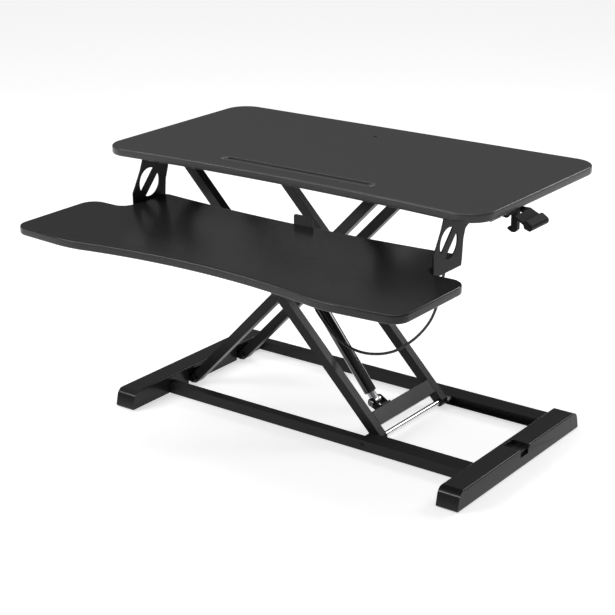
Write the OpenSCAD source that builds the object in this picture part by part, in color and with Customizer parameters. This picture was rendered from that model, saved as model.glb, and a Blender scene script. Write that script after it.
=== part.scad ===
// Standing desk converter: a scissor lift under a desktop, with a keyboard tray in front.
// X runs along the long side, +Y points away from the user, Z is up from the floor.

/* [Desktop] */
// Length of the desktop
desk_w = 800; // [760:10:840]
// Depth of the desktop at its corners
desk_d = 406; // [396:2:420]
// Thickness of the desktop
board_t = 15; // [12:1:18]
// Height of the work surface when raised
desk_top = 508.4; // [500:0.1:520]
// Corner radius of the desktop
desk_r = 45; // [30:5:60]
// How far the front edge curves in at the middle
front_dip = 15.5; // [8:0.5:20]

/* [Keyboard tray] */
// Length of the keyboard tray
tray_w = 804; // [790:2:820]
// Height of the tray's top surface when raised
tray_top = 413; // [405:1:420]
// Distance between the outer faces of the two hangers
hanger_gap = 644; // [640:1:646]

/* [Lift] */
// Distance from the fixed pivots to the rollers when raised
pivot_span = 456.2; // [450:0.1:462]
// Height of the base pivots and rollers
pivot_z = 13; // [12.8:0.1:13.2]
// Side of the square arm tube, across the arm
arm_h = 19; // [18:0.5:19]
// Width of the arm tube, along the pivots
arm_w = 18; // [17:0.5:18]
// Diameter of the chrome axles
axle_d = 10; // [8:1:10]
// Diameter of the pivot bolts
bolt_d = 8; // [6:1:8]
// Diameter of the gas spring's cylinder
cylinder_d = 24; // [20:1:26]

/* [Base] */
// Distance between the outer faces of the feet
base_w = 765; // [760:1:770]
// Width of a foot
foot_w = 43; // [40:1:45]
// Height of a foot
foot_h = 36.7; // [34:0.1:38]
// Side of the square base rails
rail = 20; // [20:1:20]

/* [Hidden] */

$fn = 48;
fit = 0.05;                       // radial running clearance of every pivot
gap = 0.5;                        // clearance between pieces that pass each other

// Centre of the desktop, from the origin at the middle of the footprint
desk_x = -17;
desk_y = 117.5;

// Heights of the desktop and the tray
desk_under = desk_top - board_t;
tray_under = tray_top - board_t;

// Scissor geometry, measured from the desktop's centre
pivot_x = -332;
roller_x = pivot_x + pivot_span;
pivot_top = desk_under - rail / 2;
rise = pivot_top - pivot_z;
arm_angle = atan2(rise, pivot_span);
arm_len = sqrt(rise * rise + pivot_span * pivot_span);
mid_x = pivot_x + pivot_span / 2;
mid_z = pivot_z + rise / 2;

// Planes across the lift: its middle, and the outer faces of the two pairs of arms
lift_y = 33.25;
outer_half = 111.25;
inner_half = 84.25;
outer_y = [lift_y - outer_half, lift_y + outer_half - arm_w];
inner_y = [lift_y - inner_half, lift_y + inner_half - arm_w];

// Base rails and their tracks, front and rear
rail_z = 3;
rail_y = [lift_y - outer_half - 40, lift_y + outer_half + 20];
track_d = 18;
track_wall = 1.5;
track_x = 110;
foot_in = base_w / 2 - foot_w;
beam_in = foot_in + 5.5;
beam_w = 33;
foot_y = [-219, 194];
cap_l = 26;

// Rollers
roller_r = 8.2;
roller_w = 12.5;
roller_out = outer_half + 2 + 2.5;         // inner face of a lower roller, from lift_y
roller_in = inner_half + 3;                // inner face of an upper roller

// Gas spring: lower eye in the outer arms' frame, upper eye in the inner arms' frame
spring_y = -12;
eye_low = [265, -8];
eye_high = [24, 30];
c = cos(arm_angle);
s = sin(arm_angle);
low_x = mid_x + eye_low[0] * c + eye_low[1] * s;
low_z = mid_z - eye_low[0] * s + eye_low[1] * c;
high_x = mid_x + eye_high[0] * c - eye_high[1] * s;
high_z = mid_z + eye_high[0] * s + eye_high[1] * c;
spring_angle = atan2(high_z - low_z, high_x - low_x);
spring_len = sqrt(pow(high_x - low_x, 2) + pow(high_z - low_z, 2));
cylinder_from = 18;
cylinder_to = 224;
loose_hole = 10;                           // open pivot: room for the pin to wander

// Release lever under the right edge of the desktop
lever_y = [-105, -50];
lever_root = -74;                          // the part under the desktop is narrower
lever_pivot = [372, 478.8];

// Route of the release cable, from the lever to the gas spring's head
cable_d = 5;
cable_route = [[341.4, -62, 468], [325, -62, 466], [308, -66, 459], [296, -72, 447],
    [289, -75, 432], [285, -75, 415], [279, -72, 397], [270, -70, 382], [258, -68, 367],
    [250, -66, 351], [242, -63, 317],
    [232, -60, 283], [218, -58, 253], [197, -56, 225], [171, -53, 200], [144, -50, 180],
    [120, -47, 168], [99, -45, 161], [77, -42, 156], [56, -39, 154], [34, -35, 155],
    [12, -31, 160], [-8, -30, 171], [-26, -29.5, 187], [-42, -29.2, 203], [-53, -28.5, 219],
    [-57.5, -25.5, 234], [-62, -19, 250], [-69, -14, 264], [-76, -12, 274]];

// ---------------------------------------------------------------- shared shapes

module at_desk() { translate([desk_x, desk_y, 0]) children(); }

// Frame of the inner arms: x up to the right, z up to the left
module inner_frame() {
    at_desk() translate([mid_x, 0, mid_z]) rotate([0, -arm_angle, 0]) children();
}

// Frame of the outer arms: x down to the right, z up to the right
module outer_frame() {
    at_desk() translate([mid_x, 0, mid_z]) rotate([0, arm_angle, 0]) children();
}

// Frame of the gas spring: x from the lower eye to the upper one
module spring_frame() {
    at_desk() translate([low_x, spring_y, low_z]) rotate([0, -spring_angle, 0]) children();
}

// A cylinder along +Y from y0 to y1
module rod_y(r, y0, y1) {
    translate([0, y1, 0]) rotate([90, 0, 0]) cylinder(r = r, h = y1 - y0);
}

// An outline drawn in X and Z, given a thickness from y0 to y1
module slab_xz(y0, y1) {
    translate([0, y1, 0]) rotate([90, 0, 0]) linear_extrude(y1 - y0) children();
}

// An outline drawn in Y and Z, given a thickness from x0 to x1
module slab_yz(x0, x1) {
    translate([x0, 0, 0]) rotate([90, 0, 90]) linear_extrude(x1 - x0) children();
}

module rounded_rect(w, d, r) {
    hull() for (i = [-1, 1], j = [-1, 1])
        translate([i * (w / 2 - r), j * (d / 2 - r)]) circle(r = r);
}

// Square tube along +X, from x0 to x1
module tube_x(x0, x1, w, h, wall) {
    difference() {
        translate([x0, -w / 2, -h / 2]) cube([x1 - x0, w, h]);
        translate([x0 - 1, -w / 2 + wall, -h / 2 + wall])
            cube([x1 - x0 + 2, w - 2 * wall, h - 2 * wall]);
    }
}

// Points of an arc from angle a0 to a1
function arc(x, y, r, a0, a1, n) =
    [for (i = [0 : n]) [x + r * cos(a0 + (a1 - a0) * i / n), y + r * sin(a0 + (a1 - a0) * i / n)]];

function mirrored(points) = [for (i = [len(points) - 1 : -1 : 0]) [-points[i][0], points[i][1]]];

// Hexagon bolt head or nut about +Y
module hex_y(r, y0, y1) {
    translate([0, y1, 0]) rotate([90, 0, 0]) cylinder(r = r, h = y1 - y0, $fn = 6);
}

// ---------------------------------------------------------------- base

module foot_profile() {
    translate([0, foot_h / 2 + 0.5]) rounded_rect(foot_w, foot_h - 1, 3);
}

// Hollow cover of a foot, open below, about x = 0
module foot_cover() {
    difference() {
        translate([0, foot_y[1] - cap_l, 0]) rotate([90, 0, 0])
            linear_extrude(foot_y[1] - foot_y[0] - 2 * cap_l) foot_profile();
        translate([-foot_w / 2 + 3, foot_y[0], 0])
            cube([foot_w - 6, foot_y[1] - foot_y[0], foot_h - 9]);
    }
}

// Openings in a cover's inner wall for the two rails
module rail_windows(side) {
    for (y = [rail_y[0] - gap, rail_y[1] - gap])
        translate([-side * foot_w / 2 - 3.4, y, 0]) cube([6.8, rail + 2 * gap, rail_z + rail + gap]);
}

foot_x = base_w / 2 - foot_w / 2;

module left_foot() color("#3c3c3e") at_desk() translate([-foot_x, 0, 0]) difference() {
    foot_cover();
    rail_windows(-1);
    for (y = inner_y) translate([foot_w / 2 - 3.4, y - 9, 0]) cube([6.8, arm_w + 18, 30]);
}

module right_foot() color("#3c3c3e") at_desk() translate([foot_x, 0, 0]) difference() {
    foot_cover();
    rail_windows(1);
    for (y = [rail_y[0] + rail - gap, rail_y[1] - track_d - gap])
        translate([-foot_w / 2 - 3.4, y, 0]) cube([6.8, track_d + 2 * gap, rail_z + rail + gap]);
    // hand notch across the top, cut deeper through the outer wall
    translate([-foot_w / 2 + 9, -16, foot_h - 6.5]) cube([foot_w, 32, 10]);
    translate([foot_w / 2 - 4, -15.5, foot_h - 15.5]) cube([6, 27, 16]);
}

// Side outline of an end cap: its end leans out towards the floor and turns over at the top
cap_outline = concat([[0, 0.5], [-cap_l - 0.5, 0.5], [-cap_l - 3.5, 4]],
    arc(-cap_l + 18.3, foot_h - 18, 18, 172, 90, 8), [[0, foot_h]]);

// Rounded cap for one end of a foot, pointing along -Y from y = 0
module end_cap() {
    intersection() {
        rotate([90, 0, 0]) linear_extrude(cap_l + 5) foot_profile();
        slab_yz(-foot_w, foot_w) polygon(cap_outline);
    }
}

module foot_end_caps() color("#303032") at_desk() for (side = [-1, 1]) difference() {
    translate([side * foot_x, 0, 0]) {
        translate([0, foot_y[0] + cap_l - 0.3, 0]) end_cap();
        translate([0, foot_y[1] - cap_l + 0.3, 0]) mirror([0, 1, 0]) end_cap();
    }
    translate([side * foot_x - foot_w / 2 + 3, foot_y[0] + 6, -1])
        cube([foot_w - 6, foot_y[1] - foot_y[0] - 12, foot_h - 8]);
    translate([side * foot_x, 0, 0]) rail_windows(side);
    translate([side * foot_x - side * foot_w / 2 - 3.4, rail_y[1] - track_d - gap, -1])
        cube([6.8, track_d + 2, rail_z + rail + gap + 1]);
}

module foot_beams() color("#202022") at_desk() for (side = [-1, 1])
    translate([side * (beam_in + beam_w / 2), 0, 14]) rotate([0, 0, 90])
        tube_x(foot_y[0] + 8, foot_y[1] - 8, beam_w, rail, 2);

module rubber_pads() color("#161616") at_desk()
    for (x = [-foot_x, foot_x], y = [foot_y[0] + 45, foot_y[1] - 45])
        translate([x, y, 0]) cylinder(r = 12, h = 4);

module base_rail(y) {
    at_desk() translate([0, y + rail / 2, rail_z + rail / 2])
        tube_x(-beam_in + 0.1, beam_in - 0.1, rail, rail, 1.5);
}

module front_rail() color("#353537") difference() {
    base_rail(rail_y[0]);
    at_desk() translate([117, 0, 14]) rod_y(2.2, rail_y[0] - 1, rail_y[0] + 5);
}

module rear_rail() color("#353537") base_rail(rail_y[1]);

// C-shaped roller track along X, its web at y = 0 and its mouth towards +Y
module track(x0, x1) {
    difference() {
        translate([x0, 0, 0]) cube([x1 - x0, track_d, rail]);
        translate([x0 - 1, track_wall, track_wall])
            cube([x1 - x0 + 2, track_d, rail - 2 * track_wall]);
    }
}

module front_track() color("#2c2c2e") at_desk()
    translate([0, rail_y[0] + rail, rail_z]) track(track_x, beam_in - 0.1);

module rear_track() color("#2c2c2e") at_desk()
    translate([0, rail_y[1], rail_z]) mirror([0, 1, 0]) track(track_x, beam_in - 0.1);

// Ears welded to the left beam, two for each inner arm
module base_pivot_ears() color("#262628") at_desk() for (y = inner_y, off = [-3, arm_w + 1])
    difference() {
        slab_xz(y + off, y + off + 2) hull() {
            translate([pivot_x, pivot_z]) circle(r = 9);
            translate([-beam_in, 4.5]) square([1, rail - 1]);
        }
        translate([pivot_x, 0, pivot_z]) rod_y(bolt_d / 2 + fit, y + off - 1, y + off + 3);
    }

module pivot_bolt(y, ear) {
    rod_y(bolt_d / 2, y - ear, y + arm_w + ear);
    difference() {
        rod_y(7.5, y - ear - 4, y - ear);
        hex_y(3, y - ear - 5, y - ear - 2);
    }
    hex_y(7, y + arm_w + ear, y + arm_w + ear + 5);
}

module base_pivot_bolts() color("#19191a") at_desk() for (y = inner_y)
    translate([pivot_x, 0, pivot_z]) pivot_bolt(y, 3.2);

// Button-head screw along -Z from z = 0 down, head above
module screw_z(r, len, head_r, head_h) {
    translate([0, 0, -len]) cylinder(r = r, h = len);
    difference() {
        cylinder(r1 = head_r, r2 = head_r * 0.7, h = head_h);
        translate([0, 0, head_h * 0.4]) cylinder(r = head_r * 0.4, h = head_h, $fn = 6);
    }
}

module rail_screws() color("#19191a") at_desk() translate([117, rail_y[0], 14])
    rotate([90, 0, 0]) screw_z(2, 4, 3.6, 2);

// ---------------------------------------------------------------- arms

// Side outline of an arm, round at both ends
module arm_outline(grow) {
    translate([-arm_len / 2, -arm_h / 2 - grow]) square([arm_len, arm_h + 2 * grow]);
    for (x = [-arm_len / 2, arm_len / 2]) translate([x, 0]) circle(r = arm_h / 2 + grow);
}

// One arm with its outer face at y, and the radii of its lower, middle and upper holes
module arm(y, holes) {
    wall = 1.6;
    difference() {
        slab_xz(y, y + arm_w) arm_outline(0);
        translate([-arm_len / 2 + 14, y + wall, -arm_h / 2 + wall])
            cube([arm_len / 2 - 28, arm_w - 2 * wall, arm_h - 2 * wall]);
        translate([14, y + wall, -arm_h / 2 + wall])
            cube([arm_len / 2 - 28, arm_w - 2 * wall, arm_h - 2 * wall]);
        for (i = [-1 : 1]) translate([i * arm_len / 2, 0, 0])
            rod_y(holes[i + 1], y - 1, y + arm_w + 1);
    }
}

bush_r = bolt_d / 2 + 2;
inner_holes = [bush_r, bolt_d / 2 + fit, axle_d / 2];
outer_holes = [bush_r, bush_r, axle_d / 2];

module front_inner_arm() color("#2e2e30") inner_frame() arm(inner_y[0], inner_holes);
module rear_inner_arm() color("#2e2e30") inner_frame() arm(inner_y[1], inner_holes);
module front_outer_arm() color("#363638") outer_frame() arm(outer_y[0], outer_holes);
module rear_outer_arm() color("#363638") outer_frame() arm(outer_y[1], outer_holes);

module inner_cross_tube() color("#2e2e30") inner_frame()
    translate([0, (inner_y[0] + arm_w + inner_y[1]) / 2, 0]) rotate([0, 0, 90])
        tube_x(-(inner_y[1] - inner_y[0] - arm_w) / 2, (inner_y[1] - inner_y[0] - arm_w) / 2,
            arm_h, arm_h, 1.6);

// Shoulder bolts that join the arms at the middle, one for each side
module centre_bolts() color("#19191a") inner_frame() {
    rod_y(bolt_d / 2, outer_y[0] - 1.2, inner_y[0] + arm_w - 2);
    rod_y(8, outer_y[0] - 5, outer_y[0] - 1.2);
    rod_y(bolt_d / 2, inner_y[1] + 2, outer_y[1] + arm_w + 1.2);
    rod_y(8, outer_y[1] + arm_w + 1.2, outer_y[1] + arm_w + 5);
}

// Flanged nylon bush through an arm; the flange fills the room beside it
module bush(y0, y1, flange_y0, flange_y1) {
    difference() {
        union() {
            rod_y(bush_r, y0, y1);
            rod_y(bush_r + 4, flange_y0, flange_y1);
        }
        rod_y(bolt_d / 2 + fit, y0 - 20, y1 + 20);
    }
}

module inner_arm_bushes() color("#101010") inner_frame() translate([-arm_len / 2, 0, 0])
    for (y = inner_y) bush(y, y + arm_w, y - 0.7, y);

module outer_arm_bushes() color("#101010") outer_frame() {
    bush(outer_y[0], outer_y[0] + arm_w, outer_y[0] + arm_w, inner_y[0] - gap);
    bush(outer_y[1], outer_y[1] + arm_w, inner_y[1] + arm_w + gap, outer_y[1]);
    translate([-arm_len / 2, 0, 0]) for (y = outer_y) bush(y, y + arm_w, y - 0.7, y);
}

// Chrome axle across a pair of arms, with a grooved ring at each end
module axle(half) {
    rod_y(axle_d / 2, lift_y - half, lift_y + half);
}

module upper_axle() color("#d8d8da") inner_frame() translate([arm_len / 2, 0, 0])
    axle(roller_in + roller_w + 0.5);
module lower_axle() color("#d8d8da") outer_frame() translate([arm_len / 2, 0, 0])
    axle(roller_out + roller_w + 0.5);

// Roller on an axle: y is its face nearer the arm, side the way it points
module roller(y, side) {
    y0 = min(y, y + side * roller_w);
    difference() {
        rod_y(roller_r, y0, y0 + roller_w);
        rod_y(axle_d / 2 + fit, y0 - 1, y0 + roller_w + 1);
        for (a = [0 : 60 : 300]) rotate([0, a, 0]) translate([6.6, 0, 0])
            rod_y(0.8, (side > 0) ? y0 + roller_w - 3 : y0 - 1, (side > 0) ? y0 + roller_w + 1 : y0 + 3);
    }
}

module upper_front_roller() color("#e4e4e0") inner_frame() translate([arm_len / 2, 0, 0])
    roller(lift_y - roller_in, -1);
module upper_rear_roller() color("#e4e4e0") inner_frame() translate([arm_len / 2, 0, 0])
    roller(lift_y + roller_in, 1);
module lower_front_roller() color("#e4e4e0") outer_frame() translate([arm_len / 2, 0, 0])
    roller(lift_y - roller_out, -1);
module lower_rear_roller() color("#e4e4e0") outer_frame() translate([arm_len / 2, 0, 0])
    roller(lift_y + roller_out, 1);

cross_x = 281;
module lower_cross_tube() color("#404042") outer_frame()
    translate([cross_x + 14, (outer_y[0] + arm_w + outer_y[1]) / 2, 0]) rotate([0, 0, 90])
        tube_x(-(outer_y[1] - outer_y[0] - arm_w) / 2, (outer_y[1] - outer_y[0] - arm_w) / 2,
            28, 19, 1.6);

// ---------------------------------------------------------------- gas spring

module spring_clevis() color("#151516") outer_frame() translate([0, spring_y, 0]) difference() {
    union() {
        for (y = [-14, 11]) slab_xz(y, y + 3) hull() {
            translate(eye_low) circle(r = 8.5);
            translate([cross_x - 3, -arm_h / 2]) square([3, 14]);
        }
        translate([cross_x - 3, -14, -arm_h / 2]) cube([3, 28, arm_h]);
    }
    translate([eye_low[0], 0, eye_low[1]]) rod_y(4 + fit, -15, 15);
}

module clevis_pin() color("#d8d8da") spring_frame() {
    rod_y(4, -16.5, 16.5);
    rod_y(6, -17.5, -14.3);
    rod_y(5.6, 14.3, 16);
}

// Zinc-plated eye screwed to the cylinder's closed end
module cylinder_eye() color("#b4b4b6") spring_frame() difference() {
    union() {
        rod_y(8, -9, 9);
        rotate([0, 90, 0]) cylinder(r = 8, h = cylinder_from);
    }
    rod_y(4 + fit, -10, 10);
    for (y = [-20, 9]) translate([-9, y, -9]) cube([18, 11, 18]);
}

module gas_cylinder() color("#131314") spring_frame() rotate([0, 90, 0]) difference() {
    translate([0, 0, cylinder_from]) cylinder(r = cylinder_d / 2, h = cylinder_to - cylinder_from);
    translate([0, 0, 100]) cylinder(r = 5 + fit, h = 150);
}

module gas_rod() color("#d8d8da") spring_frame() rotate([0, 90, 0])
    translate([0, 0, 160]) cylinder(r = 5, h = head_x - 160);

// Head on the rod's end: it holds the trigger and the end of the cable
head_x = spring_len - 28;
trigger_at = [spring_len - 17, 4.5];
module release_head() color("#1b1b1c") spring_frame() difference() {
    union() {
        translate([head_x, -11, -10]) cube([28, 22, 18]);
        translate([spring_len, 0, 0]) rod_y(10, -11, 11);
        translate([head_x, -5, -24]) cube([3, 10, 15]);
    }
    translate([spring_len, 0, 0]) rod_y(4, -12, 12);
    translate([trigger_at[0] - 6, -3.5, -11]) cube([9, 7, 22]);
    translate([trigger_at[0], 0, trigger_at[1]]) rod_y(1.5 + fit, -7, 7);
}

module head_pin() color("#c8c8ca") spring_frame() translate([spring_len, 0, 0]) {
    rod_y(4, -19.5, 19.5);
    for (y = [-19, 17.5]) rod_y(14, y, y + 1.5);
    hex_y(6, -22, -19);
    hex_y(6, 19, 22);
}

// Trigger across the rod's end: the cable pulls its outer tip and it presses the valve pin
module release_trigger() color("#2a2a2c") spring_frame()
    translate([trigger_at[0], 0, trigger_at[1]]) {
        rod_y(1.5, -6.9, 6.9);
        slab_xz(-3, 3) hull() {
            circle(r = 2.9);
            translate([0, -25]) circle(r = 2.2);
        }
    }

// Cheeks on the inner cross tube; their wide holes let the pin wander a little
module spring_bracket() color("#262628") inner_frame() translate([0, spring_y, 0])
    for (y = [-15.8, 13.8]) difference() {
        slab_xz(y, y + 2) difference() {
            hull() {
                translate(eye_high) circle(r = 17);
                translate([-9, arm_h / 2 + 0.1]) square([18, 8]);
            }
            translate([9.6, -20]) square([60, arm_h / 2 + 22]);
        }
        translate([eye_high[0], 0, eye_high[1]]) rod_y(loose_hole, y - 1, y + 3);
    }

// ---------------------------------------------------------------- desktop

module desktop_outline() {
    half = desk_w / 2 - desk_r;
    cut_r = (half * half + front_dip * front_dip) / (2 * front_dip);
    difference() {
        translate([0, 200 - desk_d / 2]) rounded_rect(desk_w, desk_d, desk_r);
        translate([0, 200 - desk_d + front_dip - cut_r]) circle(r = cut_r, $fn = 720);
    }
}

slot_y = -148.5;
module desktop() color("#3a3a3b") at_desk() difference() {
    translate([0, 0, desk_under]) linear_extrude(board_t) desktop_outline();
    translate([0, slot_y, desk_top - 9]) linear_extrude(10) rounded_rect(326, 21, 8);
    translate([0, slot_y, desk_top - 1.3]) linear_extrude(2) rounded_rect(331, 26, 11.5);
    translate([-24, 129, desk_under - 1]) linear_extrude(board_t + 2) rounded_rect(12, 6, 2.9);
    translate([-24, 129, desk_top - 0.7]) linear_extrude(2) rounded_rect(13.6, 7.6, 3.7);
}

// Channel let into the desktop, flush with its surface, to stand a phone or tablet in
module device_slot() color("#444446") at_desk() translate([0, slot_y, 0]) difference() {
    union() {
        translate([0, 0, desk_top - 1.2]) linear_extrude(1.2) rounded_rect(330, 25, 11);
        translate([0, 0, desk_top - 8.8]) linear_extrude(8) rounded_rect(325, 20, 7.5);
    }
    translate([-150, -1, desk_top - 7]) cube([300, 9, 12]);
    for (x = [-158, 158], y = [-4, 4]) translate([x, y, 0]) {
        translate([0, 0, desk_top - 10]) cylinder(r = 1.4, h = 14);
        translate([0, 0, desk_top - 1.2]) cylinder(r = 2.6, h = 2);
    }
}

module slot_screws() color("#8a8a8c") at_desk() translate([0, slot_y, desk_top - 1.1])
    for (x = [-158, 158], y = [-4, 4]) translate([x, y, 0]) screw_z(1.3, 7, 2.4, 1);

module cable_port_plug() color("#1c1c1d") at_desk() translate([-24, 129, 0]) {
    translate([0, 0, desk_under + 4]) linear_extrude(board_t - 4.6) rounded_rect(11.6, 5.6, 2.75);
    translate([0, 0, desk_top - 0.6]) linear_extrude(0.55) rounded_rect(13, 7, 3.4);
}

module desk_track(y, flip) {
    at_desk() translate([0, y, desk_under - rail]) mirror([0, flip, 0]) track(track_x, 338);
}
desk_web = roller_in + roller_w + track_wall + 1.2;
module front_desk_track() color("#2c2c2e") desk_track(lift_y - desk_web, 0);
module rear_desk_track() color("#2c2c2e") desk_track(lift_y + desk_web, 1);

module desk_pivot_brackets() color("#262628") at_desk() for (y = outer_y, off = [-3, arm_w + 1])
    difference() {
        union() {
            slab_xz(y + off, y + off + 2) hull() {
                translate([pivot_x, pivot_top]) circle(r = 9);
                translate([pivot_x - 14, desk_under - 2]) square([28, 2]);
            }
            translate([pivot_x - 14, (off < 0) ? y - 16 : y + arm_w + 1, desk_under - 2])
                cube([28, 15, 2]);
        }
        translate([pivot_x, 0, pivot_top]) rod_y(bolt_d / 2 + fit, y + off - 1, y + off + 3);
    }

module desk_pivot_bolts() color("#19191a") at_desk() for (y = outer_y)
    translate([pivot_x, 0, pivot_top]) pivot_bolt(y, 3.2);

// ---------------------------------------------------------------- keyboard tray

// Right half of the tray's outline, from the middle of the front to the middle of the back
function tray_half() = concat(
    [for (x = [0 : 25 : 225]) [x, -412 - x * x / 2360]],
    arc(278.9, -192.8, 247, 261, 275, 5),
    arc(tray_w / 2 - 28, -405, 28, 275, 360, 8),
    arc(tray_w / 2 - 30, -267, 30, 0, 90, 8),
    arc(hang_x + 19, -216, 22, 270, 180, 7),
    arc(hang_x - 15, -141, 12, 0, 90, 5),
    [for (x = [280 : -40 : 0]) [x, -145.6 + x * x / 5680]]);

module keyboard_tray() color("#2a2a2b") at_desk() translate([0, 0, tray_under])
    linear_extrude(board_t) union() {
        polygon(tray_half());
        polygon(mirrored(tray_half()));
    }

module tray_stop() color("#4a4a4b") at_desk() slab_xz(-144.6, -141.6)
    translate([11, tray_under + 16]) rounded_rect(40, 31, 4);

hang_x = hanger_gap / 2;
// Side outline of a hanger, in Y and Z
module hanger_outline() {
    difference() {
        polygon([[-184, desk_under], [-186, 484], [-193, 468], [-205, 447], [-214, 432],
            [-214, 400.5], [-210, 397.2], [-205, 395.6], [-130, 395.6], [-128, 407], [-125, 440],
            [-118, 460], [-114, 480], [-113, desk_under]]);
        difference() {
            translate([-169.5, 443.5]) circle(r = 26.5);
            translate([-169.5, 443.5]) rotate(47) square([60, 15.5], center = true);
        }
    }
}

module hanger(side) {
    at_desk() scale([side, 1, 1]) difference() {
        union() {
            slab_yz(hang_x - 2.5, hang_x) hanger_outline();
            translate([hang_x - 30, -184, desk_under - 2.5]) cube([30, 71, 2.5]);
            translate([hang_x - 30, -205, tray_under - 2.5]) cube([30, 75, 2.5]);
        }
        for (y = [-172, -126]) translate([hang_x - 16, y, desk_under - 5]) cylinder(r = 2.6, h = 8);
        for (y = [-192, -144]) translate([hang_x - 16, y, tray_under - 5]) cylinder(r = 2.6, h = 8);
    }
}

module left_tray_hanger() color("#242426") hanger(-1);
module right_tray_hanger() color("#242426") hanger(1);

module hanger_screws() color("#19191a") at_desk() for (x = [16 - hang_x, hang_x - 16]) {
    for (y = [-172, -126]) translate([x, y, desk_under - 2.5]) mirror([0, 0, 1])
        screw_z(2.4, 2.4, 4.4, 1.8);
    for (y = [-192, -144]) translate([x, y, tray_under - 2.5]) mirror([0, 0, 1])
        screw_z(2.4, 2.4, 4.4, 1.8);
}

// ---------------------------------------------------------------- release lever

module lever_housing() color("#1d1d1e") at_desk() difference() {
    ears = [lever_root - 4, lever_y[1] + 1.5];
    union() {
        translate([342, ears[0], desk_under - 2.5]) cube([50, ears[1] - ears[0] + 2.5, 2.5]);
        for (y = ears) slab_xz(y, y + 2.5) hull() {
            translate(lever_pivot) circle(r = 7);
            translate([350, desk_under - 2.5]) square([40, 2.5]);
        }
        translate([342, ears[0], 460]) cube([3, ears[1] - ears[0] + 2.5, desk_under - 460]);
    }
    translate([lever_pivot[0], 0, lever_pivot[1]]) rod_y(3, ears[0] - 1, ears[1] + 4);
    translate([341, -62, 468]) rotate([0, 90, 0]) cylinder(r = 2, h = 5);
}

module lever_pin() color("#c8c8ca") at_desk()
    translate([lever_pivot[0], 0, lever_pivot[1]]) rod_y(3 - fit, lever_root - 4.5, lever_y[1] + 4.5);

// Side outline of the lever: flat under the desktop, bent down, with a thick lip
module lever_outline() {
    polygon([[368, 484.6], [401, 484.6], [419, 474.6], [421.5, 468.2], [431.5, 465.2],
        [434.8, 467.4], [436, 471.6], [434.4, 476.2], [424.2, 482.6], [421.6, 482.4],
        [419.8, 478.8], [402, 487.4], [368, 487.4]]);
    translate(lever_pivot) circle(r = 6);
    translate([lever_pivot[0] - 5, lever_pivot[1]]) square([10, 8]);
}

module release_lever() color("#242425") at_desk() difference() {
    slab_xz(lever_y[0], lever_y[1]) lever_outline();
    translate([lever_pivot[0], 0, lever_pivot[1]]) rod_y(3 + fit, lever_y[0] - 1, lever_y[1] + 1);
    translate([360, lever_y[0] - 1, 460]) cube([43, lever_root - lever_y[0] + 1, 30]);
    for (y = [lever_root - 1, -59]) translate([360, y, 465]) cube([20, 10, 19.6]);
}

// Torsion spring: two coils round the lever's pin, on either side of its hub
module lever_spring() color("#9a9a9c") at_desk()
    translate([lever_pivot[0], 0, lever_pivot[1]])
        for (y = [-72, -70, -68, -56, -54, -52]) translate([0, y, 0]) rotate([90, 0, 0])
            rotate_extrude() translate([4.4, 0]) circle(r = 0.8, $fn = 16);

// ---------------------------------------------------------------- cable and hook

// Unit vectors and rings of a round tube swept along a route
function unit(v) = v / norm(v);
function tangent(p, i) = unit(p[min(i + 1, len(p) - 1)] - p[max(i - 1, 0)]);
function side(t) = unit(cross(t, [0, 1, 0]));
function ring(p, i, r, n) =
    let (t = tangent(p, i), u = side(t), v = cross(t, u))
    [for (k = [0 : n - 1]) p[i] + r * cos(360 * k / n) * u + r * sin(360 * k / n) * v];
// Catmull-Rom point between p[i] and p[i + 1]
function between(p, i, f) =
    let (a = p[max(i - 1, 0)], b = p[i], d = p[i + 1], e = p[min(i + 2, len(p) - 1)])
    0.5 * (2 * b + (d - a) * f + (2 * a - 5 * b + 4 * d - e) * f * f + (3 * b - a - 3 * d + e) * f * f * f);
function smooth(p, m) = concat(
    [for (i = [0 : len(p) - 2], j = [0 : m - 1]) between(p, i, j / m)], [p[len(p) - 1]]);

module swept(points, r, n) {
    rings = [for (i = [0 : len(points) - 1]) each ring(points, i, r, n)];
    last = (len(points) - 1) * n;
    polyhedron(rings, concat(
        [[for (k = [n - 1 : -1 : 0]) k]], [[for (k = [0 : n - 1]) last + k]],
        [for (i = [0 : len(points) - 2], k = [0 : n - 1])
            [i * n + k, i * n + (k + 1) % n, (i + 1) * n + (k + 1) % n, (i + 1) * n + k]]));
}

module release_cable() color("#0c0c0c") at_desk() swept(smooth(cable_route, 3), cable_d / 2, 8);

// Ferrule at the lever, and the wire's nipple inside the housing
module cable_ends() color("#b0b0b2") at_desk() {
    translate([342.2, -62, 468]) rotate([0, 90, 0]) cylinder(r = 1.9, h = 4);
    translate([346, -62, 468]) rotate([0, 90, 0]) cylinder(r = 1, h = 14);
}

hook_at = [386, -104];
// Hook for a bag or headphones, under the right front corner
module bag_hook() color("#2a2a2b") at_desk() {
    difference() {
        translate([0, 0, desk_under - 6]) hull() {
            translate([hook_at[0], hook_at[1], 3]) cylinder(r = 13, h = 3);
            translate(hook_at) cylinder(r = 9.5, h = 3);
            translate([hook_at[0], -90, 1]) cube([13.5, 9, 5]);
        }
        for (y = [-7, 5]) translate([hook_at[0] - 3, hook_at[1] + y, desk_under - 8])
            cylinder(r = 1.6, h = 10);
    }
    slab_xz(-90, -81) polygon([[400, desk_under - 4], [400, 459], [396, 454.5], [390, 454],
        [382, 458.5], [382.6, 461.5], [388.5, 459.5], [388.5, desk_under - 4]]);
}

module hook_screws() color("#19191a") at_desk() for (y = [-7, 5])
    translate([hook_at[0] - 3, hook_at[1] + y, desk_under - 6]) mirror([0, 0, 1])
        screw_z(1.5, 4, 2.8, 1.2);

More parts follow.
